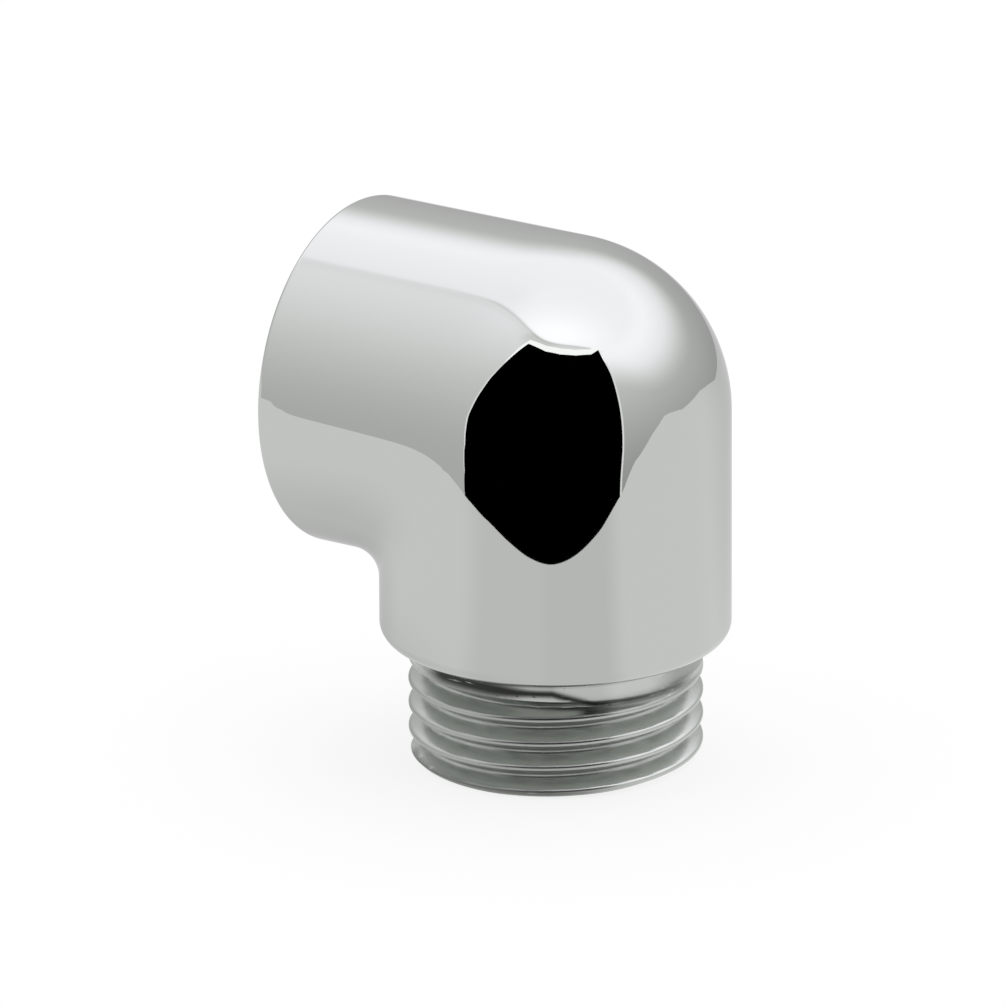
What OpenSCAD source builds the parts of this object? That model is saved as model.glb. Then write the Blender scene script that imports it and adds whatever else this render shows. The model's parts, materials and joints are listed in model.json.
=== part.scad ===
// Extension elbow for shower and bath pipework.
// One brass casting, turned and chrome plated: a leg with a male pipe thread and, at a right angle
// to it, an arm with a female pipe thread in its mouth.
// It stands on the end of its male thread: the leg's axis is +Z from the origin, the arm points to -X.
// Both threads are plain here: the male one at the diameter over its crests, and the female one at
// the diameter that is drilled for the tap.

/* [Body] */
// Outside diameter of the leg, the arm and the round outer corner
body_od = 25; // [23:0.5:30]
// Length of the leg between the male thread and the underside of the arm
neck_length = 5; // [3:0.5:20]
// Radius of the blend in the inner corner, limited by the walls beside it
corner_blend_r = 2.5; // [0.5:0.1:4]
// Radius that rounds the shoulder over the male thread
shoulder_round_r = 2.2; // [0.5:0.1:2.5]
// Radius that breaks the outer edge of the arm's mouth
mouth_round_r = 0.4; // [0.1:0.1:1]

/* [Male thread] */
// Diameter over the crests of the male thread, G 1/2
male_thread_od = 20.955; // [17:0.005:22]
// Length of the male thread, from its end face up to the shoulder
male_thread_length = 8; // [6:0.5:12]
// Height and width of the lead chamfer on the thread's end
male_lead_chamfer = 0.4; // [0.2:0.1:1.5]

/* [Female thread] */
// Diameter inside the crests of the female thread, G 1/2
female_thread_id = 18.631; // [15.5:0.001:20]
// Depth from the arm's mouth to the washer seat
female_thread_depth = 8.5; // [7:0.5:14]
// Depth and width of the chamfer that leads into the female thread, limited by the mouth's wall
female_lead_chamfer = 1.2; // [0.4:0.1:1.5]
// Narrowest flat ring that the mouth keeps round that chamfer
mouth_land = 0.4; // [0.2:0.1:1]
// Wall between the washer seat and the bore up the leg
seat_wall = 1.5; // [1:0.1:4]

/* [Waterway] */
// Diameter of the bore up the leg
leg_bore_d = 14; // [9:0.5:16]
// Diameter of the bore from the washer seat into the leg's bore
arm_bore_d = 13; // [8:0.5:14]
// How far each drill's full diameter runs past the other bore's axis
drill_overrun = 2; // [1:0.5:3]
// Included angle of the drill's point
drill_point_angle = 118; // [90:2:140]
// Chamfer that breaks the edge of each bore
bore_edge_chamfer = 0.4; // [0.2:0.1:0.8]

/* [Hidden] */

$fn = 128;
body_r = body_od / 2;
male_thread_r = male_thread_od / 2;
female_thread_r = female_thread_id / 2;
leg_bore_r = leg_bore_d / 2;
arm_bore_r = arm_bore_d / 2;
// Height of the arm's axis over the end of the male thread
axis_height = male_thread_length + neck_length + body_r;
// Distance from the leg's axis to the mouth of the arm
arm_length = leg_bore_r + seat_wall + female_thread_depth;
blend_r = min(
    corner_blend_r,
    neck_length - shoulder_round_r,
    arm_length - body_r - mouth_round_r
);
female_lead = min(female_lead_chamfer, body_r - mouth_round_r - mouth_land - female_thread_r);
// How far a cutter starts outside the face that it cuts
cut_start = 1;
// How deep the corner blend dips under the walls that it joins, so it meets them at an angle
blend_dip = 0.02;
// How far the blend's root lies under the crease between leg and arm
blend_root_depth = 1.5;
// The blend fades out towards the sides, and its last section lies this far round the crease, in degrees
blend_half_sweep = 84;
blend_sections = 42;
blend_arc_steps = 8;

// A quarter disc with its corner at the origin, in the quadrant of +X and -Y
module quarter_disc(r) {
    intersection() {
        circle(r);
        translate([0, -r])
            square(r);
    }
}

// Half section of the leg, from the shoulder up to the arm's axis
module leg_profile() {
    straight_from = male_thread_length + shoulder_round_r;
    translate([0, straight_from])
        square([body_r, axis_height - straight_from]);
    translate([0, male_thread_length])
        square([body_r - shoulder_round_r, shoulder_round_r]);
    translate([body_r - shoulder_round_r, straight_from])
        quarter_disc(shoulder_round_r);
}

// Half section of the male thread's blank, with its lead chamfer, up into the leg
module male_thread_profile() {
    blank_top = male_thread_length + shoulder_round_r;
    polygon([
        [0, 0],
        [male_thread_r - male_lead_chamfer, 0],
        [male_thread_r, male_lead_chamfer],
        [male_thread_r, blank_top],
        [0, blank_top]
    ]);
}

// Half section of the arm, with its mouth at zero height and its root on the leg's axis
module arm_profile() {
    translate([0, mouth_round_r])
        square([body_r, arm_length - mouth_round_r]);
    square([body_r - mouth_round_r, mouth_round_r]);
    translate([body_r - mouth_round_r, mouth_round_r])
        quarter_disc(mouth_round_r);
}

// Lays what stands on the XY plane along the arm's axis, with its foot at the mouth
module at_mouth() {
    translate([-arm_length, 0, axis_height])
        rotate([0, 90, 0])
            children();
}

module leg() {
    rotate_extrude() {
        leg_profile();
        male_thread_profile();
    }
}

module arm() {
    at_mouth()
        rotate_extrude()
            arm_profile();
}

// The outer corner is a quarter of a ball, centred where the two axes cross
module outer_corner() {
    translate([0, 0, axis_height])
        rotate([90, 0, 0])
            rotate_extrude(angle = 90)
                intersection() {
                    circle(body_r);
                    translate([0, -body_r])
                        square([body_r, body_od]);
                }
}

// Where the ball that rolls round the crease has its centre, at the angle a from the inner corner
function ball_centre(a) =
    (body_r + blend_r - blend_dip) * [-cos(a), sin(a), -cos(a)];

// From that centre, the directions towards the leg's axis and towards the arm's axis
function to_leg(a) = [cos(a), -sin(a), 0];
function to_arm(a) = [0, -sin(a), cos(a)];

// The direction at share t of the way round from one to the other
function between(a, t) =
    let (opening = acos(to_leg(a) * to_arm(a)))
    (sin((1 - t) * opening) * to_leg(a) + sin(t * opening) * to_arm(a)) / sin(opening);

// One section of the blend: the ball's concave arc, closed by a root under the crease
function blend_section(a) = concat(
    [for (i = [0:blend_arc_steps]) ball_centre(a) + blend_r * between(a, i / blend_arc_steps)],
    [(body_r - blend_root_depth) * [-cos(a), sin(a), -cos(a)]]
);

// The blend in the inner corner, as left by a ball that rolls along both walls
module corner_blend() {
    ring = blend_arc_steps + 2;
    root = ring - 1;
    last = blend_sections * ring;
    points = [
        for (s = [0:blend_sections])
            each blend_section(blend_half_sweep * (2 * s / blend_sections - 1))
    ];
    sides = [
        for (s = [0:blend_sections - 1], i = [0:ring - 1])
            let (
                p = s * ring + i,
                q = s * ring + (i + 1) % ring
            )
            each [[p, p + ring, q], [q, p + ring, q + ring]]
    ];
    first_end = [for (i = [0:blend_arc_steps - 1]) [root, i, i + 1]];
    last_end = [for (i = [0:blend_arc_steps - 1]) [last + root, last + i + 1, last + i]];
    translate([0, 0, axis_height])
        polyhedron(points = points, faces = concat(sides, first_end, last_end));
}

// What a drill of radius r takes out down to the given depth, with its point past that
module drilled(r, depth) {
    translate([0, 0, -cut_start])
        cylinder(r = r, h = depth + cut_start);
    translate([0, 0, depth])
        cylinder(r1 = r, r2 = 0, h = r / tan(drill_point_angle / 2));
}

// What a countersink takes off the edge of a bore of radius r
module countersunk(r, chamfer) {
    translate([0, 0, -cut_start])
        cylinder(r1 = r + chamfer + cut_start, r2 = r, h = chamfer + cut_start);
}

module waterway() {
    drilled(leg_bore_r, axis_height + drill_overrun);
    countersunk(leg_bore_r, bore_edge_chamfer);
    at_mouth() {
        drilled(arm_bore_r, arm_length + drill_overrun);
        translate([0, 0, female_thread_depth])
            countersunk(arm_bore_r, bore_edge_chamfer);
    }
}

// The socket for the female thread, down to its flat washer seat
module female_socket() {
    at_mouth() {
        translate([0, 0, -cut_start])
            cylinder(r = female_thread_r, h = female_thread_depth + cut_start);
        countersunk(female_thread_r, female_lead);
    }
}

module elbow_body() {
    color("silver")
        difference() {
            union() {
                leg();
                arm();
                outer_corner();
                corner_blend();
            }
            waterway();
            female_socket();
        }
}

elbow_body();
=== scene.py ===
# Extension elbow for shower and bath pipework, as it looks: chrome-plated brass with both of its
# pipe threads cut in, standing on the end of its male thread on the white floor of a light tent.
# Lengths are in metres. +Z runs up the leg from the end of its thread, and the arm points to -X.

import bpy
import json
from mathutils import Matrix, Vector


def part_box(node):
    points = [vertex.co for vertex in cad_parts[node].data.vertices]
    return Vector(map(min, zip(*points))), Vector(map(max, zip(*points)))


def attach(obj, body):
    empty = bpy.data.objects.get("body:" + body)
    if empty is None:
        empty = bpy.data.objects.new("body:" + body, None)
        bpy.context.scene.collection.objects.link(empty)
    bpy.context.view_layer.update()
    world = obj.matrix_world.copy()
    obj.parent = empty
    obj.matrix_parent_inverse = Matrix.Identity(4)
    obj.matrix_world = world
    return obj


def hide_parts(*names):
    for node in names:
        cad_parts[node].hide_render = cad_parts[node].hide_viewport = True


bl_info = {
    "name": "Extension elbow",
    "version": (1, 0, 0),
    "blender": (4, 5, 0),
    "location": "3D View > Sidebar > Elbow",
    "description": "A chrome-plated pipe elbow with both threads cut, on the floor of a light tent",
    "category": "Object",
}

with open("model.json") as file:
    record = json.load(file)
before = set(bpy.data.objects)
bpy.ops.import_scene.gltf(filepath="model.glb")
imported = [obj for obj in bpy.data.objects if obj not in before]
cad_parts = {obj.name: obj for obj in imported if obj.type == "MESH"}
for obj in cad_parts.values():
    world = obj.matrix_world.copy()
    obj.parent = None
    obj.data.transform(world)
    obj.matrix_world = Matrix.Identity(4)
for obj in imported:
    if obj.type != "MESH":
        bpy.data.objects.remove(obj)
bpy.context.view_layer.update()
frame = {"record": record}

import json
import math
from collections import namedtuple

import bpy
import numpy as np
from bpy.props import FloatProperty, FloatVectorProperty, IntProperty, PointerProperty
from mathutils import Matrix, Vector

NODE = "elbow_body"
MM = 0.001
low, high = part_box(NODE)
mounts = {mount["name"]: mount for mount in frame["record"]["mounts"]}


def length(description, default):
    """A property that holds a length in metres."""
    return FloatProperty(
        name=description.split(",")[0],
        description=description,
        default=default,
        unit="LENGTH",
        subtype="DISTANCE",
        precision=6,
    )


def share(description, default):
    """A property between 0 and 1."""
    return FloatProperty(
        name=description.split(",")[0], description=description, default=default,
        min=0, max=1, subtype="FACTOR",
    )


def angle(description, degrees):
    return FloatProperty(
        name=description.split(",")[0], description=description,
        default=math.radians(degrees), subtype="ANGLE", unit="ROTATION",
    )


def colour(description, default):
    return FloatVectorProperty(
        name=description.split(",")[0], description=description, default=default,
        size=3, min=0, max=1, subtype="COLOR",
    )


# Sizes


class ElbowBodySizes(bpy.types.PropertyGroup):
    """The outside of the body."""

    radius: length("Outside radius, of the leg, the arm and the ball-shaped corner", high.x)
    axis_height: length("Axis height, of the arm over the end of the male thread", high.z - high.x)
    arm_length: length("Arm length, from the leg's axis to the mouth", -low.x)
    corner_blend: length("Corner blend, the radius of the ball that rolls round the inner corner", 2.5 * MM)
    shoulder_slope: angle("Shoulder slope, of the cone between the male thread and the round", 25)
    shoulder_round: length("Shoulder round, the radius between that cone and the leg's wall", 1.0 * MM)
    mouth_round: length("Mouth round, the radius on the outer edge of the mouth", 0.4 * MM)
    polish: length("Polish, how far round each point it has evened the corner's slopes", 5 * MM)


class ElbowThreadSizes(bpy.types.PropertyGroup):
    """Both pipe threads."""

    pitch: length("Pitch, 14 turns to the inch", 25.4 * MM / 14)
    male_radius: length("Male crest radius", mounts["male_thread"]["dims"]["r_mm"] * MM)
    male_length: length("Male length, up to the shoulder's cone", 8.3 * MM)
    male_lead: length("Male lead chamfer", 0.4 * MM)
    male_crest_height: length("Male crest height, where its crest crosses the +X side", 0.77 * MM)
    male_plain: length("Male plain band, without a groove under the shoulder", 0.7 * MM)
    male_runout: length("Male run-out, over which the groove fades into the plain band", 1.4 * MM)
    runout_lean: length("Run-out lean, by which it starts lower on one side", 0.5 * MM)
    runout_side: angle("Run-out side, where that is, round from +X", 33.65)
    female_radius: length("Female crest radius", mounts["female_thread"]["dims"]["r_mm"] * MM)
    female_lead: length("Female lead chamfer", 1.2 * MM)
    female_runout: length("Female run-out, over which the groove fades in front of the seat", 1.6 * MM)
    edge_break: length("Edge break, which softens where a thread meets its chamfer", 0.06 * MM)


class ElbowWaterwaySizes(bpy.types.PropertyGroup):
    """The two bores that cross inside the corner."""

    seat_depth: length("Seat depth, from the mouth to the washer seat",
                       mounts["washer_seat"]["pos_m"][0] - low.x)
    leg_bore: length("Leg bore radius", 7 * MM)
    arm_bore: length("Arm bore radius", 6.5 * MM)
    overrun: length("Overrun, of each drill past the other bore's axis", 2 * MM)
    point_angle: angle("Point angle, between the sides of the drill's point", 118)
    edge_chamfer: length("Edge chamfer, on each bore", 0.4 * MM)


class ElbowMeshDetail(bpy.types.PropertyGroup):
    """How finely the surface is divided."""

    segments: IntProperty(name="Segments", description="Faces round each ring", default=240)
    rows_per_pitch: IntProperty(name="Rows per pitch", description="Rows to a pitch", default=22)
    corner_rows: IntProperty(name="Corner rows", description="Rows round the corner", default=96)
    cavity_rows: IntProperty(name="Cavity rows", description="Rows where the bores cross", default=70)


class ElbowFinish(bpy.types.PropertyGroup):
    """The plating, what has settled on it, and the painted shade on the thread."""

    plate: colour("Plate, polished chrome on the outside", (0.55, 0.564, 0.549))
    plate_roughness: share("Plate roughness", 0.012)
    thread: colour("Thread plate, thin and dull chrome in the male thread", (0.52, 0.543, 0.518))
    thread_roughness: share("Thread roughness", 0.25)
    bore: colour("Bore plate, what little chrome reaches inside", (0.46, 0.46, 0.43))
    bore_roughness: share("Bore roughness", 0.3)
    # The residue colour and roughness also paint shade under the male thread's shoulder and on its lead chamfer
    residue: colour("Residue, dark and dry in the thread", (0.03, 0.032, 0.024))
    residue_roughness: share("Residue roughness", 0.6)


# Surface patches. Each is a function of the angle round the ring, 0 at the inner corner's side,
# and of a station that runs along the surface, with the stations at which its rows lie.


def around_leg(profile):
    """The surface that a profile of radius and height makes round the leg's axis."""
    def surface(angle, station):
        radius, height = profile(angle, station)
        return np.stack([-radius * np.cos(angle), radius * np.sin(angle), height], -1)
    return surface


def around_arm(profile, axis_height):
    """The surface that a profile of radius and x makes round the arm's axis."""
    def surface(angle, station):
        radius, x = profile(angle, station)
        return np.stack([x, radius * np.sin(angle), axis_height - radius * np.cos(angle)], -1)
    return surface


def straight(start, end):
    """A profile that runs straight from one (radius, place) to another, by a station from 0 to 1."""
    def profile(angle, station):
        radius = start[0] + (end[0] - start[0]) * station
        place = start[1] + (end[1] - start[1]) * station
        return radius, place
    return profile


def steps(first, last, count):
    """Evenly spaced stations, in count steps."""
    return np.linspace(first, last, count + 1)


def soft_min(a, b, width):
    """The smaller of two lengths, rounded over a width where they cross."""
    near = np.maximum(width - np.abs(a - b), 0) / width
    return np.minimum(a, b) - near * near * width / 4


def soft_max(a, b, width):
    return -soft_min(-a, -b, width)


def smooth_rise(value, start, end):
    """0 up to start and 1 from end on, with a smooth rise between."""
    place = np.clip((value - start) / (end - start), 0, 1)
    return place * place * (3 - 2 * place)


# The Whitworth form: 55 degrees between flanks, with round crests and roots. Lengths in pitches
FLANK = math.radians(27.5)
FORM_ROUND = 0.137329
FORM_DEPTH = 0.640327


def thread_depth(turns):
    """How deep the form lies under its crest, this many turns from the middle of a crest."""
    from_crest = np.abs((turns + 0.5) % 1 - 0.5)
    from_root = 0.5 - from_crest
    reach = FORM_ROUND * math.cos(FLANK)
    crest = FORM_ROUND - np.sqrt(FORM_ROUND**2 - np.minimum(from_crest, reach) ** 2)
    root = FORM_DEPTH - FORM_ROUND + np.sqrt(FORM_ROUND**2 - np.minimum(from_root, reach) ** 2)
    flank = FORM_DEPTH / 2 + (from_crest - 0.25) / math.tan(FLANK)
    return np.where(from_crest < reach, crest, np.where(from_root < reach, root, flank))


def male_thread(thread):
    """Profile of the male thread by height, from its lead chamfer to its run-out."""
    def profile(angle, height):
        turn = 0.5 - angle / (2 * math.pi)
        turns = (height - thread.male_crest_height) / thread.pitch - turn
        left = thread.male_length - height + thread.runout_lean * np.cos(angle + thread.runout_side)
        cut = smooth_rise(left, thread.male_plain, thread.male_plain + thread.male_runout)
        radius = thread.male_radius - thread.pitch * thread_depth(turns) * cut
        lead = thread.male_radius - thread.male_lead + height
        return soft_min(radius, lead, thread.edge_break), height
    return profile


def female_thread(thread, depth, mouth_x):
    """Profile of the female thread by depth, from its lead chamfer to its run-out."""
    def profile(angle, station):
        turns = station / thread.pitch - angle / (2 * math.pi)
        radius = thread.female_radius + thread.pitch * thread_depth(turns)
        lead = thread.female_radius + thread.female_lead - station
        left = depth - station
        root = thread.pitch * FORM_DEPTH
        runout = thread.female_radius + root * left / thread.female_runout
        radius = soft_min(radius, runout, thread.edge_break)
        return soft_max(radius, lead, thread.edge_break), mouth_x + station
    return profile


def outer_corner(body, sharp=False):
    """The outside of the corner: leg, arm and ball, with the inner corner blended or sharp.

    Each row lies in a plane through the pivot, the line that the blending ball's centre starts
    from. The station is that plane's angle, from 0 at the leg to a right angle at the arm."""
    radius = body.radius
    reach = radius + body.corner_blend

    def half(angle, tilt):
        """(along the leg's radius, side, rise) for planes nearer to the leg than to the arm."""
        side = radius * np.sin(angle)
        inward = radius * np.cos(angle)
        # The leg's own wall
        out = -inward
        rise = -reach + np.tan(tilt) * (reach - inward)
        # Past the axes' crossing, the ball
        cut = np.sqrt(np.maximum(radius**2 - side**2 - reach**2 * (1 - np.sin(2 * tilt)), 0))
        from_pivot = reach * (np.cos(tilt) + np.sin(tilt)) + cut
        on_ball = rise > 0
        out = np.where(on_ball, from_pivot * np.cos(tilt) - reach, out)
        rise = np.where(on_ball, from_pivot * np.sin(tilt) - reach, rise)
        # Near the pivot, the blend: the ball's centre, and its directions to leg and arm
        inner = np.maximum(np.cos(angle), 1e-4)
        starts = np.arctan2(reach * (1 - inner), reach - radius * inner)
        opening = np.arccos(np.clip(1 - inner**2, -1, 1))
        normal = (np.sin(tilt), -np.cos(tilt))
        centre = reach * (1 - inner) * (normal[0] + normal[1])
        to_leg = inner * normal[0]
        to_arm = inner * normal[1]
        needed = -centre / body.corner_blend * np.sin(opening)
        a = to_leg * np.sin(opening)
        b = to_arm - to_leg * np.cos(opening)
        swing = np.arctan2(b, a) + np.arccos(np.clip(needed / np.hypot(a, b), -1, 1))
        near_leg = np.sin(opening - swing) / np.sin(opening)
        near_arm = np.sin(swing) / np.sin(opening)
        blended = (np.cos(angle) > 1e-6) & (tilt > starts) & (not sharp)
        ball = body.corner_blend
        out = np.where(blended, -reach * inner + ball * near_leg * inner, out)
        side = np.where(
            blended, np.sin(angle) * (reach - ball * (near_leg + near_arm)), side
        )
        rise = np.where(blended, -reach * inner + ball * near_arm * inner, rise)
        return out, side, rise

    def surface(angle, tilt):
        by_arm = tilt > math.pi / 4
        out, side, rise = half(angle, np.where(by_arm, math.pi / 2 - tilt, tilt))
        x = np.where(by_arm, rise, out)
        z = np.where(by_arm, out, rise)
        return np.stack([x, side, body.axis_height + z], -1)
    return surface


def unit(vectors):
    return vectors / np.linalg.norm(vectors, axis=-1, keepdims=True)


# Rings and spokes of the places over which a slope is evened
RINGS, SPOKES = 14, 60


def polished(body):
    """Normals of the outer corner, where polishing has evened the slopes of leg, arm and ball.

    Each is a mean over the disc round its point, with less weight to the rim. The blend in the
    inner corner keeps its own."""
    blended = outer_corner(body)
    sharp = outer_corner(body, sharp=True)
    crossing = np.array([0, 0, body.axis_height])

    def sharp_normal(place):
        x, y, z = np.moveaxis(place, -1, 0)
        on_leg = np.where((x < 0) & (z < 0), x > z, z < 0)
        on_arm = ~on_leg & (x < 0)
        return unit(np.stack([np.where(on_arm, 0, x), y, np.where(on_leg, 0, z)], -1))

    def normals(angle, tilt):
        place = sharp(angle, tilt) - crossing
        normal = sharp_normal(place)
        side = unit(np.cross(normal, (1, 0, -1)))
        other = np.cross(normal, side)
        from_pivot = body.radius * (1 - np.cos(angle)) + body.corner_blend
        reach = np.minimum(body.polish, from_pivot)[..., None]
        total = np.zeros(place.shape)
        for turn in np.arange(SPOKES) * 2 * math.pi / SPOKES:
            spoke = math.cos(turn) * side + math.sin(turn) * other
            for ring in (np.arange(RINGS) + 0.5) / RINGS:
                total += ring * (1 - ring**2) * sharp_normal(place + reach * ring * spoke)
        even = smooth_rise(from_pivot, 5 * MM, 9 * MM)[..., None]
        return unit(even * unit(total) + (1 - even) * normals_of(blended, angle, tilt))
    return normals


def drilled(along, across, side, radius, overrun, point_angle):
    """How far a point lies outside what a drill takes out, negative inside it."""
    off_axis = np.hypot(across, side)
    cone = off_axis - (overrun + radius / math.tan(point_angle / 2) - along) * math.tan(point_angle / 2)
    return np.maximum(off_axis - radius, cone * math.cos(point_angle / 2))


def crossing_bores(body, water, pivot):
    """Where the two bores cross, cut by planes that turn about the pivot from arm to leg.

    The station is the plane's angle. Each point is found by halving along a ray that leaves
    the plane's own middle."""
    def outside(x, y, z):
        rise = z - body.axis_height
        leg = drilled(rise, x, y, water.leg_bore, water.overrun, water.point_angle)
        arm = drilled(x, rise, y, water.arm_bore, water.overrun, water.point_angle)
        return np.minimum(leg, arm)

    def surface(angle, tilt):
        along = np.stack([np.cos(tilt), 0 * tilt, np.sin(tilt)], -1)
        start = np.array([pivot[0], 0, pivot[1]])
        crossing = np.array([0, 0, body.axis_height])
        middle = start + along * ((crossing - start) * along).sum(-1, keepdims=True)
        ray = -np.cos(angle)[..., None] * along + np.sin(angle)[..., None] * np.array([0, 1, 0])
        near = np.zeros(angle.shape)
        far = np.full(angle.shape, 3 * body.radius)
        for stride in np.linspace(0, 1, 121)[1:]:
            reach = stride * 1.5 * body.radius
            hit = outside(*np.moveaxis(middle + ray * reach, -1, 0)) > 0
            far = np.where(hit & (far > reach), np.minimum(far, reach), far)
            near = np.where(~hit & (far > reach), reach, near)
        for _ in range(44):
            half_way = (near + far) / 2
            hit = outside(*np.moveaxis(middle + ray * half_way[..., None], -1, 0)) > 0
            near, far = np.where(hit, near, half_way), np.where(hit, half_way, far)
        return middle + ray * ((near + far) / 2)[..., None]
    return surface


# The finishes, by their place in the mesh's list of materials
OUTSIDE, IN_THREAD, INSIDE = range(3)
Patch = namedtuple("Patch", "surface stations finish normals", defaults=(OUTSIDE, None))


def patches(body, thread, water, detail):
    """All patches in one round trip: out of the leg's bore, up the outside, and in at the mouth."""
    quarter = math.pi / 2
    mouth = -body.arm_length
    seat = mouth + water.seat_depth
    slope = body.shoulder_slope
    shoulder_from = body.radius - body.shoulder_round
    cone_end = shoulder_from + body.shoulder_round * math.sin(slope)
    cone_top = thread.male_length + (cone_end - thread.male_radius) * math.tan(slope)
    shoulder_top = cone_top + body.shoulder_round * math.cos(slope)
    face_ring = body.radius - body.mouth_round
    lead_ring = thread.female_radius + thread.female_lead
    male = male_thread(thread)
    female = female_thread(thread, water.seat_depth, mouth)
    male_rows = round(thread.male_length / thread.pitch * detail.rows_per_pitch)
    female_rows = round(water.seat_depth / thread.pitch * detail.rows_per_pitch * 0.7)
    pivot = (seat + 0.6 * MM, body.axis_height - water.arm_bore - 1.0 * MM)

    def leg(profile):
        return around_leg(profile)

    def arm(profile):
        return around_arm(profile, body.axis_height)

    def cone(angle, station):
        start, _ = male(angle, thread.male_length + 0 * station)
        return (
            start + (cone_end - start) * station,
            thread.male_length + (cone_top - thread.male_length) * station,
        )

    def to_thread(angle, station):
        end, height = male(angle, 0 * station)
        start = water.leg_bore + water.edge_chamfer
        return start + (end - start) * station, height

    def shoulder(angle, tilt):
        return (
            shoulder_from + body.shoulder_round * np.sin(tilt),
            shoulder_top - body.shoulder_round * np.cos(tilt),
        )

    def mouth_round(angle, tilt):
        return (
            face_ring + body.mouth_round * np.cos(tilt),
            mouth + body.mouth_round * (1 - np.sin(tilt)),
        )

    def to_seat(angle, station):
        start, x = female(angle, water.seat_depth + 0 * station)
        end = water.arm_bore + water.edge_chamfer
        return start + (end - start) * station, x

    def to_female(angle, station):
        end, x = female(angle, 0 * station)
        return face_ring + (end - face_ring) * station, x

    leg_edge = straight((water.leg_bore, water.edge_chamfer), (water.leg_bore + water.edge_chamfer, 0))
    arm_edge = straight((water.arm_bore + water.edge_chamfer, seat),
                        (water.arm_bore, seat + water.edge_chamfer))
    leg_top = body.axis_height - body.radius - body.corner_blend
    arm_root = -body.radius - body.corner_blend
    wall = straight((body.radius, shoulder_top), (body.radius, leg_top))
    arm_wall = straight((body.radius, arm_root), (body.radius, mouth + body.mouth_round))
    behind_seat = straight((water.arm_bore, seat + water.edge_chamfer), (water.arm_bore, pivot[0]))
    leg_bore = straight((water.leg_bore, pivot[1]), (water.leg_bore, water.edge_chamfer))
    return [
        Patch(leg(leg_edge), steps(0, 1, 1), INSIDE),
        Patch(leg(to_thread), steps(0, 1, 3)),
        Patch(leg(male), steps(0, thread.male_length, male_rows), IN_THREAD),
        Patch(leg(cone), steps(0, 1, 3)),
        Patch(leg(shoulder), steps(slope, quarter, 12)),
        Patch(leg(wall), steps(0, 1, 2)),
        Patch(outer_corner(body), steps(0, quarter, detail.corner_rows), OUTSIDE, polished(body)),
        Patch(arm(arm_wall), steps(0, 1, 3)),
        Patch(arm(mouth_round), steps(0, quarter, 8)),
        Patch(arm(to_female), steps(0, 1, 3)),
        Patch(arm(female), steps(0, water.seat_depth, female_rows), INSIDE),
        Patch(arm(to_seat), steps(0, 1, 3), INSIDE),
        Patch(arm(arm_edge), steps(0, 1, 1), INSIDE),
        Patch(arm(behind_seat), steps(0, 1, 1), INSIDE),
        Patch(crossing_bores(body, water, pivot), steps(quarter, 0, detail.cavity_rows), INSIDE),
        Patch(leg(leg_bore), steps(0, 1, 12), INSIDE),
    ]


def normals_of(surface, angle, station):
    """Outward normals, from the surface's slopes along and round the ring."""
    step = 1e-5
    first, last = station[0, 0], station[-1, 0]
    reach = step * (last - first)
    before = np.clip(station - reach, min(first, last), max(first, last))
    after = np.clip(station + reach, min(first, last), max(first, last))
    along = surface(angle, after) - surface(angle, before)
    around = surface(angle + step, station) - surface(angle - step, station)
    return unit(np.cross(along, around))


def closed_mesh(name, made, segments):
    """One closed mesh from patches that follow each other in a ring, with their own normals."""
    angles = np.arange(segments) * 2 * math.pi / segments
    points, corners, faces, finishes = [], [], [], []
    rows_before = 0
    total_rows = sum(len(patch.stations) - 1 for patch in made)
    column = np.arange(segments)
    following = (column + 1) % segments
    for patch in made:
        station, around = np.meshgrid(patch.stations, angles, indexing="ij")
        if patch.normals:
            normal = patch.normals(around, station)
        else:
            normal = normals_of(patch.surface, around, station)
        points.append(patch.surface(around, station)[:-1].reshape(-1, 3))
        rows = len(patch.stations) - 1
        for row in range(rows):
            here = (rows_before + row) * segments
            above = (rows_before + row + 1) % total_rows * segments
            faces.append(np.stack([here + column, above + column, above + following, here + following], 1))
            corners.append(np.stack([normal[row], normal[row + 1],
                                     normal[row + 1][following], normal[row][following]], 1))
        finishes.append(np.full(rows * segments, patch.finish))
        rows_before += rows
    points = np.concatenate(points)
    faces = np.concatenate(faces)
    corners = np.concatenate(corners)
    flat = np.cross(points[faces[:, 2]] - points[faces[:, 0]], points[faces[:, 3]] - points[faces[:, 1]])
    flat /= np.linalg.norm(flat, axis=1, keepdims=True)
    # An edge that crosses a face keeps that face's own flat normal
    facing = (corners * flat[:, None]).sum(-1, keepdims=True)
    corners = np.where(facing > math.cos(math.radians(35)), corners, flat[:, None])
    mesh = bpy.data.meshes.new(name)
    mesh.from_pydata(points.tolist(), [], faces.tolist(), shade_flat=False)
    mesh.normals_split_custom_set(corners.reshape(-1, 3).tolist())
    mesh.polygons.foreach_set("material_index", np.concatenate(finishes))
    return mesh


# Shader nodes


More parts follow.
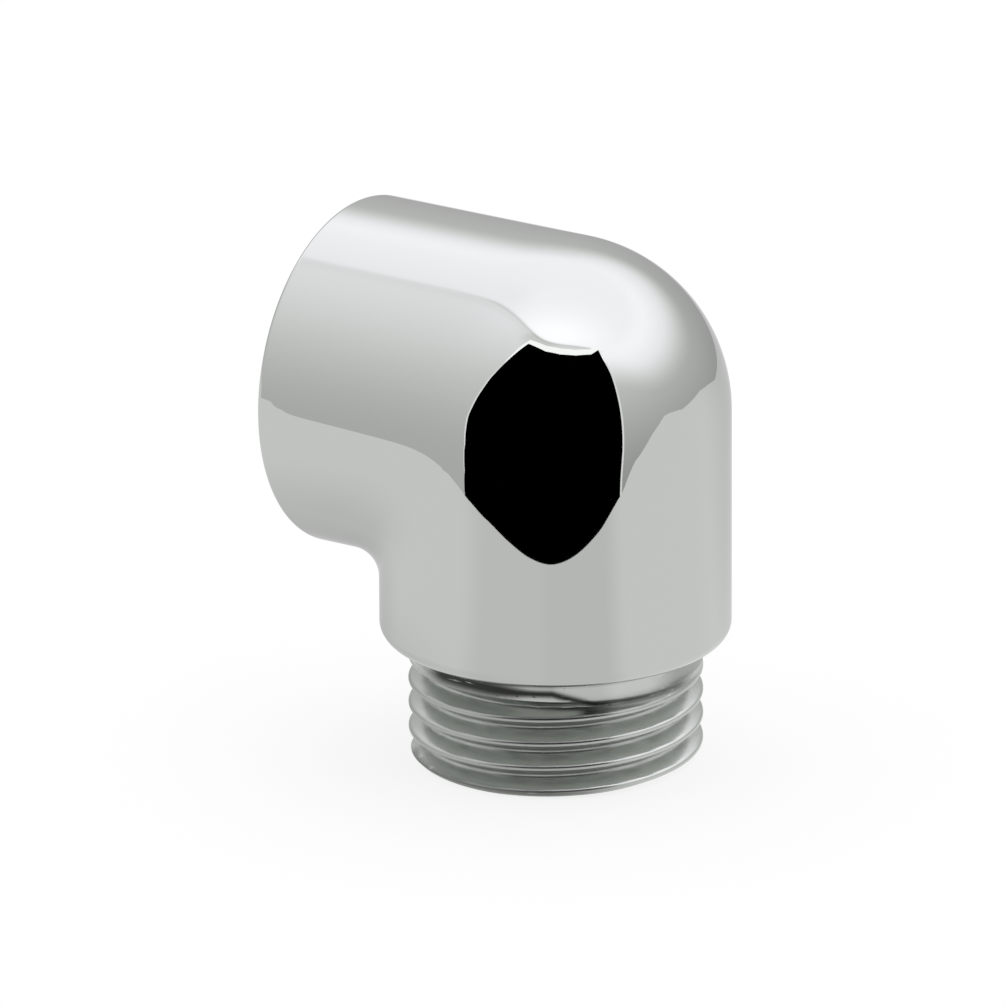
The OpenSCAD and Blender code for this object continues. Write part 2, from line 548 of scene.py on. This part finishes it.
class Wire:
    """The output of a shader node. Arithmetic on it adds Math nodes to its tree."""

    def __init__(self, tree, socket):
        self.tree = tree
        self.socket = socket

    def math(self, operation, *others, clamp=False):
        node = self.tree.nodes.new("ShaderNodeMath")
        node.operation = operation
        node.use_clamp = clamp
        for entry, value in zip(node.inputs, (self, *others)):
            feed(self.tree, entry, value)
        return Wire(self.tree, node.outputs[0])

    def __add__(self, other):
        return self.math("ADD", other)

    def __sub__(self, other):
        return self.math("SUBTRACT", other)

    def __rsub__(self, other):
        return (self * -1) + other

    def __mul__(self, other):
        return self.math("MULTIPLY", other)

    def __truediv__(self, other):
        return self.math("DIVIDE", other)

    __radd__ = __add__
    __rmul__ = __mul__

    def ramp(self, start, end):
        """0 up to start and 1 from end on, with a smooth rise between. It falls if end is lower."""
        node = self.tree.nodes.new("ShaderNodeMapRange")
        node.interpolation_type = "SMOOTHSTEP"
        feed(self.tree, node.inputs["Value"], self)
        node.inputs["From Min"].default_value = start
        node.inputs["From Max"].default_value = end
        return Wire(self.tree, node.outputs["Result"])

    def bell(self, middle, width):
        """1 at the middle, falling off to both sides as a bell curve."""
        offset = (self - middle) / width
        return Wire(self.tree, (offset * offset * -0.5).math("EXPONENT").socket)


def feed(tree, entry, value):
    """Links a wire or a socket to an input, or sets the input's own value."""
    if isinstance(value, Wire):
        tree.links.new(value.socket, entry)
    elif isinstance(value, bpy.types.NodeSocket):
        tree.links.new(value, entry)
    else:
        entry.default_value = value


def blend(a, b, share):
    """a where share is 0 and b where it is 1."""
    return share * (b - a) + a


def mix_shaders(tree, share, first, second):
    node = tree.nodes.new("ShaderNodeMixShader")
    feed(tree, node.inputs[0], share)
    feed(tree, node.inputs[1], first)
    feed(tree, node.inputs[2], second)
    return node.outputs[0]


def mix_colours(tree, share, first, second):
    node = tree.nodes.new("ShaderNodeMix")
    node.data_type = "RGBA"
    feed(tree, node.inputs["Factor"], share)
    for entry, value in ((node.inputs[6], first), (node.inputs[7], second)):
        feed(tree, entry, value if isinstance(value, bpy.types.NodeSocket) else (*value, 1))
    return node.outputs[2]


def dot(tree, vector, direction):
    node = tree.nodes.new("ShaderNodeVectorMath")
    node.operation = "DOT_PRODUCT"
    feed(tree, node.inputs[0], vector)
    node.inputs[1].default_value = direction
    return Wire(tree, node.outputs["Value"])


# Stage


class ElbowStageSettings(bpy.types.PropertyGroup):
    """The camera and the light tent."""

    azimuth: angle("Azimuth, the camera's angle round the elbow", 33.65)
    elevation: angle("Elevation, the camera's angle over the horizon", 19.44)
    roll: angle("Roll, the camera's turn about its own line of sight", -0.297)
    distance: length("Camera distance", 1.0)
    frame_width: length("Frame width, at the camera's distance", 70.93 * MM)
    shift_right: length("Right shift, of the axes' crossing from the frame's middle", 3.686 * MM)
    shift_up: length("Up shift, of the axes' crossing from the frame's middle", 6.586 * MM)
    floor_white: share("Floor white, how much light the floor returns", 0.9)
    shadow_share: share("Shadow share, how much of the shadow the camera sees", 0.17)
    opening_distance: length("Opening distance, from the leg's axis to the dark opening", 262 * MM)
    rim_width: length("Rim width, of the bright edge round the dark opening", 12 * MM)
    rim_top: length("Rim top, how much wider that edge is over the opening", 52 * MM)


# Outlines in millimetres, as seen from the camera: (to the right, towards the camera) of the leg's
# axis for the sheet that makes the floor, and (to the right, up) for the tent's dark opening
FLOOR_FRONT = [
    (128, 90.5), (94, 80), (70, 69.3), (53.5, 62.7), (45, 62.2), (35.9, 62.6), (24.2, 63.9),
    (10.1, 64.2), (-3, 63.6), (-16.5, 62.7), (-30.5, 60.4), (-45.2, 55.1), (-55.3, 48.6),
    (-61, 44.1), (-71.2, 39.7), (-77, 38.3), (-84, 38.4), (-95, 39.3), (-107, 40.3), (-124, 46.5),
    (-167, 65),
]
FLOOR_REST = [
    (-700, 275), (-700, -700), (0, -232), (142, -211), (185, -204.5), (227, -198), (558, -338),
    (5000, -1960), (4540, 1475), (1350, 478), (664, 268), (354, 171),
]
OPENING_TOP = 380
OPENING_OUTLINE = [
    (-440, -160), (-426, -150), (-395, -109), (-365, -25), (-353, 84), (-328, 169), (-294, 269),
    (-248, 370), (-195, 480), (-161, 545), (-46, 423), (28, 391), (102, 390), (193, 422), (267, 498),
    (258, 410), (262, 283), (253, 174), (247, 72), (242, -20), (235, -76), (232, -150),
]


def smooth_line(corners, steps_between):
    """A smooth curve through corners, as points with so many steps between each two of them."""
    corners = np.array(corners, float)
    chords = np.diff(corners, axis=0)
    reach = np.linalg.norm(chords, axis=1, keepdims=True)
    slope = chords / reach
    turning = (slope[1:] * reach[:-1] + slope[:-1] * reach[1:]) / (reach[1:] + reach[:-1])
    tangent = np.concatenate([slope[:1], turning, slope[-1:]])
    points = []
    for k in range(len(chords)):
        for t in np.arange(steps_between) / steps_between:
            ahead = t * t * (3 - 2 * t)
            leaving = reach[k] * tangent[k] * t * (1 - t) ** 2
            arriving = reach[k] * tangent[k + 1] * t * t * (1 - t)
            points.append(corners[k] + ahead * chords[k] + leaving - arriving)
    return [*points, corners[-1]]


def camera_axes(stage):
    """(right, up, back) of the camera."""
    a, e, roll = stage.azimuth, stage.elevation, stage.roll
    back = Vector((math.sin(a) * math.cos(e), -math.cos(a) * math.cos(e), math.sin(e)))
    level = Vector((math.cos(a), math.sin(a), 0))
    upright = back.cross(level)
    right = math.cos(roll) * level + math.sin(roll) * upright
    return right, back.cross(right), back


def level_axes(stage):
    """(to the right, towards the camera), both level."""
    a = stage.azimuth
    return Vector((math.cos(a), math.sin(a), 0)), Vector((math.sin(a), -math.cos(a), 0))


def add_camera(stage, crossing):
    right, up, back = camera_axes(stage)
    data = bpy.data.cameras.new("camera")
    data.sensor_width = 36
    data.lens = 36 * stage.distance / stage.frame_width
    data.clip_start = 0.05
    data.clip_end = 10
    camera = bpy.data.objects.new("camera", data)
    place = crossing - right * stage.shift_right - up * stage.shift_up + back * stage.distance
    camera.matrix_world = Matrix.Translation(place) @ Matrix((right, up, back)).transposed().to_4x4()
    bpy.context.scene.collection.objects.link(camera)
    bpy.context.scene.camera = camera
    return camera


def flat_piece(name, corners, material):
    """One flat face on the stage."""
    mesh = bpy.data.meshes.new(name)
    mesh.from_pydata(corners, [], [list(range(len(corners)))])
    mesh.materials.append(material)
    piece = bpy.data.objects.new(name, mesh)
    bpy.context.scene.collection.objects.link(piece)
    return piece


def new_material(name):
    """A material with an empty tree: (material, tree, the tree's surface input)."""
    material = bpy.data.materials.new(name)
    material.use_nodes = True
    tree = material.node_tree
    tree.nodes.clear()
    out = tree.nodes.new("ShaderNodeOutputMaterial")
    return material, tree, out.inputs["Surface"]


def floor_material(stage):
    """White paper, in light and shadow. The camera sees it bleached, and past the object white.

    The chrome sees it glowing, with painted shade: a painted shadow of the object behind it and
    under its arm, and the opening's shade painted in front. From below it can't be seen."""
    material, tree, surface = new_material("white_floor")
    paper = tree.nodes.new("ShaderNodeBsdfDiffuse")
    paper.inputs["Color"].default_value = (stage.floor_white,) * 3 + (1,)
    white = tree.nodes.new("ShaderNodeEmission")
    clear = tree.nodes.new("ShaderNodeBsdfTransparent")
    rightward, towards = level_axes(stage)
    place = tree.nodes.new("ShaderNodeTexCoord").outputs["Object"]
    right = dot(tree, place, rightward)
    front = dot(tree, place, towards)
    distance = (right * right + front * front).math("SQRT").math("MAXIMUM", MM)
    side = right / distance
    # Painted shadows on the glowing floor: behind the object, in front of it towards the opening, and under its
    # arm
    painted_shadow_behind = (front / distance).ramp(-0.25, -1.05)
    before = side.ramp(-0.88, -0.66) * side.ramp(0.68, 0.46) * front.ramp(0, 8 * MM)
    painted_shadow_under_arm = right.bell(-20 * MM, 12 * MM) * front.bell(-10 * MM, 15 * MM)
    # For glossy rays the floor glows, darkened by those painted shadows
    painted_floor_shade = tree.nodes.new("ShaderNodeEmission")
    feed(tree, painted_floor_shade.inputs["Strength"],
         0.96 - 0.28 * painted_shadow_behind - 0.2 * painted_shadow_under_arm - before * (0.1 + 0.03 * side.ramp(-0.2, -0.05)))
    light_path = tree.nodes.new("ShaderNodeLightPath")
    by_camera = Wire(tree, light_path.outputs["Is Camera Ray"])
    bleached = blend(1 - stage.shadow_share, 1, distance.ramp(12 * MM, 40 * MM))
    seen = mix_shaders(tree, by_camera * bleached, paper.outputs[0], white.outputs[0])
    seen = mix_shaders(tree, light_path.outputs["Is Glossy Ray"], seen, painted_floor_shade.outputs[0])
    from_below = tree.nodes.new("ShaderNodeNewGeometry").outputs["Backfacing"]
    feed(tree, surface, mix_shaders(tree, from_below, seen, clear.outputs[0]))
    return material


def plain_light(name, sides, top):
    """A surface that gives plain white light of its own, so much at the opening's sides and top."""
    material, tree, surface = new_material(name)
    light = tree.nodes.new("ShaderNodeEmission")
    height = dot(tree, tree.nodes.new("ShaderNodeTexCoord").outputs["Object"], (0, 0, 1))
    over = height.ramp((OPENING_TOP - 10) * MM, OPENING_TOP * MM)
    feed(tree, light.inputs["Strength"], blend(sides, top, over))
    feed(tree, surface, light.outputs[0])
    return material


def tent_world(stage):
    """The tent's cloth by direction. The camera sees plain white, and the chrome sees the cloth."""
    world = bpy.data.worlds.new("light_tent")
    world.use_nodes = True
    tree = world.node_tree
    tree.nodes.clear()
    rightward, towards = level_axes(stage)
    direction = tree.nodes.new("ShaderNodeTexCoord").outputs["Generated"]
    right = dot(tree, direction, rightward)
    front = dot(tree, direction, towards)
    up = dot(tree, direction, (0, 0, 1))
    level = (right * right + front * front).math("SQRT").math("MAXIMUM", 1e-6)

    def toward(degrees, spread):
        """1 at an angle round the object from the camera's side, falling off over the spread."""
        a, b = math.radians(degrees), math.radians(spread)
        facing = (right * math.sin(a) + front * math.cos(a)) / level
        return Wire(tree, ((facing - 1) / b**2).math("EXPONENT").socket)

    # The left wall is lit evenly
    left_wall = 0.74 + up * 0.3 + up * up * 0.38 - 0.05 * toward(-45, 15) * up.ramp(0.2, 0.6)
    # The right and back walls have a bright upper half, which starts higher in two corners
    dim_corner = toward(-118, 24)
    raised = up - 0.2 * toward(177, 14) - 0.21 * toward(43, 17)
    back_wall = 0.61 + 0.5 * up.math("MINIMUM", 0.75) - 0.09 * toward(160, 22) + 0.05 * toward(43, 25)
    back_wall = back_wall + 0.42 * raised.ramp(0.2, 0.53) + 0.27 * raised.ramp(0.3, 0.72)
    back_wall = back_wall - 0.12 * up.ramp(0.76, 0.9) - 0.1 * dim_corner * up.ramp(1, 0.95)
    on_left = (front / level).ramp(-0.75, -0.35) * (right / level).ramp(0.1, -0.1)
    wall = blend(back_wall, left_wall, on_left)
    # The roof, by where the direction meets a plane one unit up
    height = up.math("MAXIMUM", 0.01)
    across = right / height
    ahead = front / height
    edge = (across + 0.535).math("MINIMUM", across * 0.916 - ahead * 0.402 + 0.36)
    edge = edge.math("SMOOTH_MIN", 0.55 - ahead, 0.44)
    hot = across.bell(-0.02, 0.42) * ahead.bell(0.4, 0.22)
    high = up.ramp(0.64, 0.8)
    roof = blend(back_wall, 1.55 + 0.25 * hot - 0.09 * dim_corner * up.ramp(1, 0.93), high)
    # The strip of wall between the roof and the dark opening
    strip = blend(1.1, 1.25, across.ramp(-0.1, 0.1))
    over_opening = ahead.ramp(0.3, 0.4) * ahead.ramp(0.95, 0.8)
    over_opening = over_opening * across.ramp(-0.45, -0.3) * across.ramp(0.7, 0.5)
    wall = blend(wall, strip, over_opening)
    seam = 0.26 * edge.bell(0, 0.012) * ahead.ramp(-0.3, -0.1) * across.ramp(0.6, 0.45)
    seam = seam + 0.08 * edge.bell(-0.035, 0.035) * ahead.ramp(-0.9, -0.6) * across.ramp(0.6, 0.3)
    # Far to the right the floor's sheet curves up a little over the horizon
    facing = front / level
    curl = 0.026 * facing.ramp(0.31, 0.24) * facing.ramp(-0.03, 0.2)
    curled = (curl - up).ramp(-0.002, 0.002) * facing.ramp(0.315, 0.3) * facing.ramp(-0.1, 0)
    wall = blend(wall, 0.96, curled * right.ramp(0, 0.1))
    cloth = blend(wall, roof, edge.ramp(-0.012, 0.012)) - seam
    lit = tree.nodes.new("ShaderNodeBackground")
    feed(tree, lit.inputs["Strength"], cloth)
    # Bright cloth is a little bluer
    bluish = cloth.ramp(0.9, 1.4)
    tint = tree.nodes.new("ShaderNodeCombineColor")
    tint.inputs["Red"].default_value = 1
    feed(tree, tint.inputs["Green"], 1 - 0.013 * bluish)
    feed(tree, tint.inputs["Blue"], 1 + 0.027 * bluish)
    feed(tree, lit.inputs["Color"], tint.outputs[0])
    white = tree.nodes.new("ShaderNodeBackground")
    white.inputs["Color"].default_value = (1, 1, 1, 1)
    by_camera = tree.nodes.new("ShaderNodeLightPath").outputs["Is Camera Ray"]
    out = tree.nodes.new("ShaderNodeOutputWorld")
    feed(tree, out.inputs["Surface"], mix_shaders(tree, by_camera, lit.outputs[0], white.outputs[0]))
    return world


# Materials


def new_group(name, inputs, outputs):
    """An empty shader node group with number sockets: (group, its inputs, its outputs)."""
    group = bpy.data.node_groups.new(name, "ShaderNodeTree")
    for socket, value in inputs.items():
        entry = group.interface.new_socket(name=socket, in_out="INPUT", socket_type="NodeSocketFloat")
        entry.default_value = value
    for socket in outputs:
        group.interface.new_socket(name=socket, in_out="OUTPUT", socket_type="NodeSocketFloat")
    entries = group.nodes.new("NodeGroupInput").outputs
    return group, entries, group.nodes.new("NodeGroupOutput").inputs


def use_group(tree, group, **inputs):
    """Puts a group into a tree, and gives its outputs by name as wires."""
    node = tree.nodes.new("ShaderNodeGroup")
    node.node_tree = group
    for name, value in inputs.items():
        feed(tree, node.inputs[name.replace("_", " ")], value)
    return {output.name: Wire(tree, output) for output in node.outputs}


def noise(tree, place, scale, detail=2):
    """Even noise of about 0.5, in grains of one scale-th of a metre."""
    node = tree.nodes.new("ShaderNodeTexNoise")
    feed(tree, node.inputs["Vector"], place)
    feed(tree, node.inputs["Scale"], scale)
    node.inputs["Detail"].default_value = detail
    return Wire(tree, node.outputs["Fac"])


def handling_marks():
    """Where touch and water have left marks: faint smears and small specks."""
    group, entries, exits = new_group("handling_marks", {"Amount": 1}, ("Smear", "Specks"))
    place = group.nodes.new("ShaderNodeTexCoord").outputs["Object"]
    amount = Wire(group, entries["Amount"])
    smear = noise(group, place, 170, 4).ramp(0.48, 0.72) * amount
    specks = noise(group, place, 2600).ramp(0.68, 0.78) * noise(group, place, 240).ramp(0.5, 0.62)
    feed(group, exits["Smear"], smear)
    feed(group, exits["Specks"], specks * amount)
    return group


def groove_depth():
    """How deep a point lies in a thread's groove, from 0 on the crest to 1 at the root."""
    inputs = {"Side 1": 0, "Side 2": 0, "Crest radius": 0.01, "Depth": 0.001}
    group, entries, exits = new_group("groove_depth", inputs, ("Groove",))
    side_1 = Wire(group, entries["Side 1"])
    side_2 = Wire(group, entries["Side 2"])
    off_axis = (side_1 * side_1 + side_2 * side_2).math("SQRT")
    depth = (off_axis - Wire(group, entries["Crest radius"])).math("ABSOLUTE")
    feed(group, exits["Groove"], depth.math("DIVIDE", Wire(group, entries["Depth"]), clamp=True))
    return group


def plate(name):
    """A material with one bright metal: (material, tree, the shader's inputs, object place)."""
    material, tree, surface = new_material(name)
    metal = tree.nodes.new("ShaderNodeBsdfPrincipled")
    metal.inputs["Metallic"].default_value = 1
    feed(tree, surface, metal.outputs[0])
    place = tree.nodes.new("ShaderNodeTexCoord").outputs["Object"]
    return material, tree, metal.inputs, place


def outside_plate(finish, marks):
    """Polished chrome with the faintest smears."""
    material, tree, metal, _ = plate("chrome_plate")
    mark = use_group(tree, marks, Amount=1.0)
    dull = 0.05 * mark["Specks"] + 0.04 * mark["Smear"]
    feed(tree, metal["Base Color"], mix_colours(tree, dull, finish.plate, finish.thread))
    feed(tree, metal["Roughness"], finish.plate_roughness + 0.006 * mark["Smear"] + 0.03 * mark["Specks"])
    return material


def male_thread_plate(finish, thread, marks, grooves):
    """Duller chrome with residue in its grooves. In front: residue and painted shade under the shoulder,
    painted shade on the lead chamfer.
    """
    material, tree, metal, place = plate("thread_plate")
    x = dot(tree, place, (1, 0, 0))
    y = dot(tree, place, (0, 1, 0))
    z = dot(tree, place, (0, 0, 1))
    mark = use_group(tree, marks, Amount=1.0)
    groove = use_group(tree, grooves, Side_1=x, Side_2=y, Crest_radius=thread.male_radius,
                       Depth=thread.pitch * FORM_DEPTH)["Groove"]
    # Fine streaks run round the thread
    streaks = tree.nodes.new("ShaderNodeVectorMath")
    streaks.operation = "MULTIPLY"
    feed(tree, streaks.inputs[0], place)
    streaks.inputs[1].default_value = (1, 1, 6)
    uneven = noise(tree, streaks.outputs[0], 700, 3)
    stain = 0.16 * uneven.ramp(0.4, 0.7) * groove.ramp(0.2, 0.8)
    # Over the front, from left to right: residue in the last groove, with painted shade of the crevice under
    # the shoulder
    a = thread.runout_side
    side = (x * math.cos(a) + y * math.sin(a)) / thread.male_radius
    front = (x * math.sin(a) - y * math.cos(a)).ramp(0, 2 * MM)
    line = thread.male_length - 0.4 * MM - 3.2 * MM * (side + 0.03).math("MAXIMUM", 0)
    line = line + 0.12 * MM * side.ramp(-0.25, -0.6)
    width = blend(0.2 * MM, 0.55 * MM, side.ramp(-0.15, -0.5))
    band = (z - line).bell(0, width) * side.ramp(-0.97, -0.75) * side.ramp(0.3, 0.2)
    ridge = (z - 6.85 * MM).bell(0, 0.28 * MM) * side.bell(0.3, 0.06)
    trough = (z - 6.8 * MM).bell(0, 0.32 * MM) * side.ramp(0.3, 0.5) * side.ramp(0.98, 0.8)
    # Painted shade under the shoulder on the right, and painted shade on the lead chamfer at the foot
    painted_shade_right = side.ramp(0.6, 0.85) * z.ramp(6.9 * MM, 7.3 * MM)
    painted_chamfer_shade = z.ramp(0.75 * MM, 0.35 * MM) * side.ramp(0.6, 0.1)
    residue = band + 0.9 * ridge + 0.7 * trough + 0.4 * painted_shade_right + 0.5 * painted_chamfer_shade
    residue = residue * front * uneven.ramp(0.2, 0.42)
    # Darker over the left and middle of the thread below the run-out, most on its crests
    darker_left_crests = (0.05 + 0.15 * groove.ramp(0.25, 0.05)) * side.ramp(0.4, -0.1) * z.ramp(7.2 * MM, 6.6 * MM)
    # All that darkens the plate: stains, darker crests, specks, residue and painted shade
    darkening = (stain + darker_left_crests + 0.4 * mark["Specks"] + residue).math("MINIMUM", 0.95)
    # Over the thread's run-out the plate is as bright as outside
    bright = z.ramp(7.0 * MM, 7.4 * MM) * groove.ramp(0.2, 0.02)
    clean = mix_colours(tree, bright, finish.thread, finish.plate)
    feed(tree, metal["Base Color"], mix_colours(tree, darkening, clean, finish.residue))
    feed(tree, metal["Roughness"],
         blend(finish.thread_roughness + 0.1 * groove - 0.15 * bright, finish.residue_roughness, darkening))
    return material


def bore_plate(finish, body, thread, marks, grooves):
    """Thin chrome with uneven stains, darker in the female thread's grooves."""
    material, tree, metal, place = plate("bore_plate")
    y = dot(tree, place, (0, 1, 0))
    z = dot(tree, place, (0, 0, 1))
    mark = use_group(tree, marks, Amount=1.0)
    in_socket = dot(tree, place, (-1, 0, 0)).ramp(8.5 * MM, 8.6 * MM)
    groove = use_group(tree, grooves, Side_1=y, Side_2=z - body.axis_height,
                       Crest_radius=thread.female_radius, Depth=thread.pitch * FORM_DEPTH)["Groove"]
    stain = noise(tree, place, 700, 3).ramp(0.45, 0.75)
    # Stains, and darker with the depth of the female thread's grooves inside the socket
    darkening = 0.25 * stain + 0.3 * groove * in_socket
    feed(tree, metal["Base Color"], mix_colours(tree, darkening, finish.bore, finish.residue))
    feed(tree, metal["Roughness"], finish.bore_roughness + 0.15 * stain + 0.1 * mark["Smear"])
    return material


class ELBOW_OT_body(bpy.types.Operator):
    """Builds the elbow's body, with both threads"""

    bl_idname = "elbow.body"
    bl_label = "Build the body"
    bl_options = {"REGISTER", "UNDO"}

    def execute(self, context):
        scene = context.scene
        made = patches(scene.elbow_body, scene.elbow_thread, scene.elbow_waterway, scene.elbow_detail)
        mesh = closed_mesh("elbow", made, scene.elbow_detail.segments)
        piece = bpy.data.objects.new("elbow", mesh)
        scene.collection.objects.link(piece)
        finish = scene.elbow_finish
        marks, grooves = handling_marks(), groove_depth()
        # In the order of the finishes' numbers
        mesh.materials.append(outside_plate(finish, marks))
        mesh.materials.append(male_thread_plate(finish, scene.elbow_thread, marks, grooves))
        mesh.materials.append(bore_plate(finish, scene.elbow_body, scene.elbow_thread, marks, grooves))
        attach(piece, "root")
        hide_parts(NODE)
        return {"FINISHED"}


class ELBOW_OT_stage(bpy.types.Operator):
    """Builds the light tent and the camera"""

    bl_idname = "elbow.stage"
    bl_label = "Build the stage"
    bl_options = {"REGISTER", "UNDO"}

    def execute(self, context):
        scene = context.scene
        scene.view_settings.view_transform = "Standard"
        stage = scene.elbow_stage
        add_camera(stage, Vector((0, 0, scene.elbow_body.axis_height)))
        scene.world = tent_world(stage)
        rightward, towards = level_axes(stage)
        outline = [*smooth_line(FLOOR_FRONT, 8), *FLOOR_REST]
        sheet = [(r * rightward + c * towards) * MM for r, c in outline]
        floor = flat_piece("floor", sheet, floor_material(stage))
        if floor.data.polygons[0].normal.z < 0:
            floor.data.flip_normals()
        middle = Vector((-100, 200))
        for name, distance, growth, rim_top, light in (
            ("opening", stage.opening_distance, 0, 0, (0, 0)),
            ("opening_rim", stage.opening_distance + MM, stage.rim_width / MM, stage.rim_top / MM, (1.2, 1.65)),
        ):
            place = towards * distance
            outline = [Vector(corner) for corner in OPENING_OUTLINE]
            outline = [corner + (corner - middle).normalized() * growth for corner in outline]
            outline = [(r, z + rim_top if z > OPENING_TOP else z) for r, z in outline]
            card = [place + (r * rightward + z * Vector((0, 0, 1))) * MM for r, z in outline]
            flat_piece(name, card, plain_light(name, *light)).visible_camera = False
        return {"FINISHED"}


class ELBOW_PT_panel(bpy.types.Panel):
    """Lists the elbow's sizes and steps"""

    bl_idname = "ELBOW_PT_panel"
    bl_label = "Extension elbow"
    bl_space_type = "VIEW_3D"
    bl_region_type = "UI"
    bl_category = "Elbow"

    def draw(self, context):
        for operator in OPERATORS:
            self.layout.operator(operator.bl_idname)
        for name, group in GROUPS.items():
            box = self.layout.box()
            for setting in group.__annotations__:
                box.prop(getattr(context.scene, name), setting)


OPERATORS = (ELBOW_OT_body, ELBOW_OT_stage)
GROUPS = {
    "elbow_body": ElbowBodySizes,
    "elbow_thread": ElbowThreadSizes,
    "elbow_waterway": ElbowWaterwaySizes,
    "elbow_detail": ElbowMeshDetail,
    "elbow_finish": ElbowFinish,
    "elbow_stage": ElbowStageSettings,
}


def register():
    for cls in (*GROUPS.values(), *OPERATORS, ELBOW_PT_panel):
        bpy.utils.register_class(cls)
    for name, group in GROUPS.items():
        setattr(bpy.types.Scene, name, PointerProperty(type=group))


def unregister():
    for name in GROUPS:
        delattr(bpy.types.Scene, name)
    for cls in (ELBOW_PT_panel, *OPERATORS, *GROUPS.values()):
        bpy.utils.unregister_class(cls)


def main():
    register()
    bpy.ops.elbow.body()
    bpy.ops.elbow.stage()


if __name__ == "__main__":
    main()
